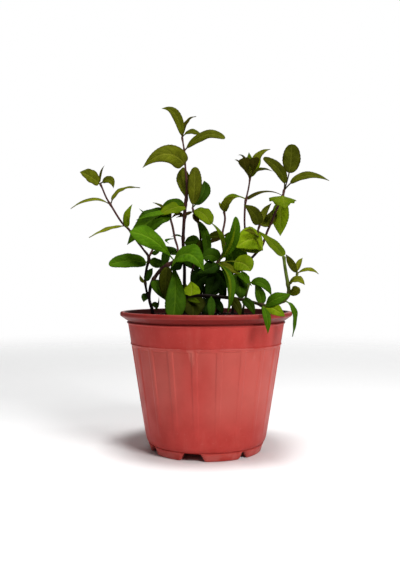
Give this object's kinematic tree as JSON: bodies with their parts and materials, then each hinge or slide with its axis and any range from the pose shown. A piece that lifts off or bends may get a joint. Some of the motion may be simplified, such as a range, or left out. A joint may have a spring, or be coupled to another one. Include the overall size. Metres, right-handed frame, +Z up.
{
  "type": "potted herb",
  "caption": "Potted mint plant: square purple stems with oval leaves, standing in soil in a round ribbed plastic nursery pot with a rolled rim and a footed base.",
  "frame": {"origin": "centre of the plant's overall box, on the surface the pot stands on", "axes": "+Z up along the pot's axis, the plant's front towards -Y, +X to the right seen from the front"},
  "size_m": [0.1971, 0.13, 0.2571],
  "materials": {
    "pot_plastic": "satin",
    "potting_soil": "matte",
    "stem_purple": "satin",
    "stem_green": "satin",
    "leaf_young": "satin",
    "leaf_mature": "satin",
    "leaf_shaded": "satin",
    "leaf_lime": "satin",
    "leaf_dying": "satin"
  },
  "bodies": {
    "root": {"pot": "pot_plastic", "soil": "potting_soil", "left_stem": "stem_purple", "arching_stem": "stem_purple", "tall_stem": "stem_purple", "inner_stem": "stem_purple", "middle_stem": "stem_purple", "upright_stem": "stem_purple", "right_stem": "stem_purple", "trailing_stem": "stem_purple", "short_shoot": "stem_green", "left_leaf_cupped": "leaf_young", "left_leaf_low_side": "leaf_young", "left_leaf_far_side": "leaf_young", "left_leaf_rising": "leaf_young", "left_leaf_twisted": "leaf_mature", "left_leaf_bright": "leaf_mature", "left_leaf_inward": "leaf_shaded", "tall_leaf_top": "leaf_young", "tall_leaf_top_far": "leaf_young", "tall_leaf_top_side": "leaf_young", "tall_leaf_right": "leaf_young", "tall_leaf_left": "leaf_young", "tall_leaf_behind": "leaf_young", "tall_leaf_low_left": "leaf_mature", "tall_leaf_hidden": "leaf_shaded", "inner_leaf_oval": "leaf_young", "inner_leaf_back": "leaf_young", "inner_leaf_lime": "leaf_lime", "inner_leaf_hanging": "leaf_shaded", "arching_leaf_upper": "leaf_shaded", "arching_leaf_bright": "leaf_mature", "arching_leaf_front": "leaf_mature", "arching_leaf_hanging": "leaf_mature", "arching_leaf_brown": "leaf_dying", "middle_leaf_upright": "leaf_mature", "middle_leaf_hanging": "leaf_mature", "middle_leaf_dark": "leaf_shaded", "middle_leaf_bright": "leaf_mature", "middle_leaf_top": "leaf_young", "upright_leaf_left": "leaf_young", "upright_leaf_top": "leaf_young", "upright_leaf_low_left": "leaf_young", "upright_leaf_low_right": "leaf_young", "right_leaf_oval": "leaf_young", "right_leaf_left": "leaf_young", "right_leaf_far": "leaf_young", "right_leaf_forward": "leaf_mature", "right_leaf_hanging": "leaf_lime", "right_leaf_low": "leaf_mature", "right_leaf_dark": "leaf_shaded", "side_leaf_left": "leaf_mature", "side_leaf_right": "leaf_mature", "trailing_leaf_top": "leaf_young", "trailing_leaf_shoot": "leaf_young", "trailing_leaf_dark": "leaf_mature", "trailing_leaf_lime": "leaf_lime", "trailing_leaf_outer": "leaf_mature", "trailing_leaf_over_rim": "leaf_mature", "shoot_leaf_right": "leaf_mature"}
  },
  "joints": []
}
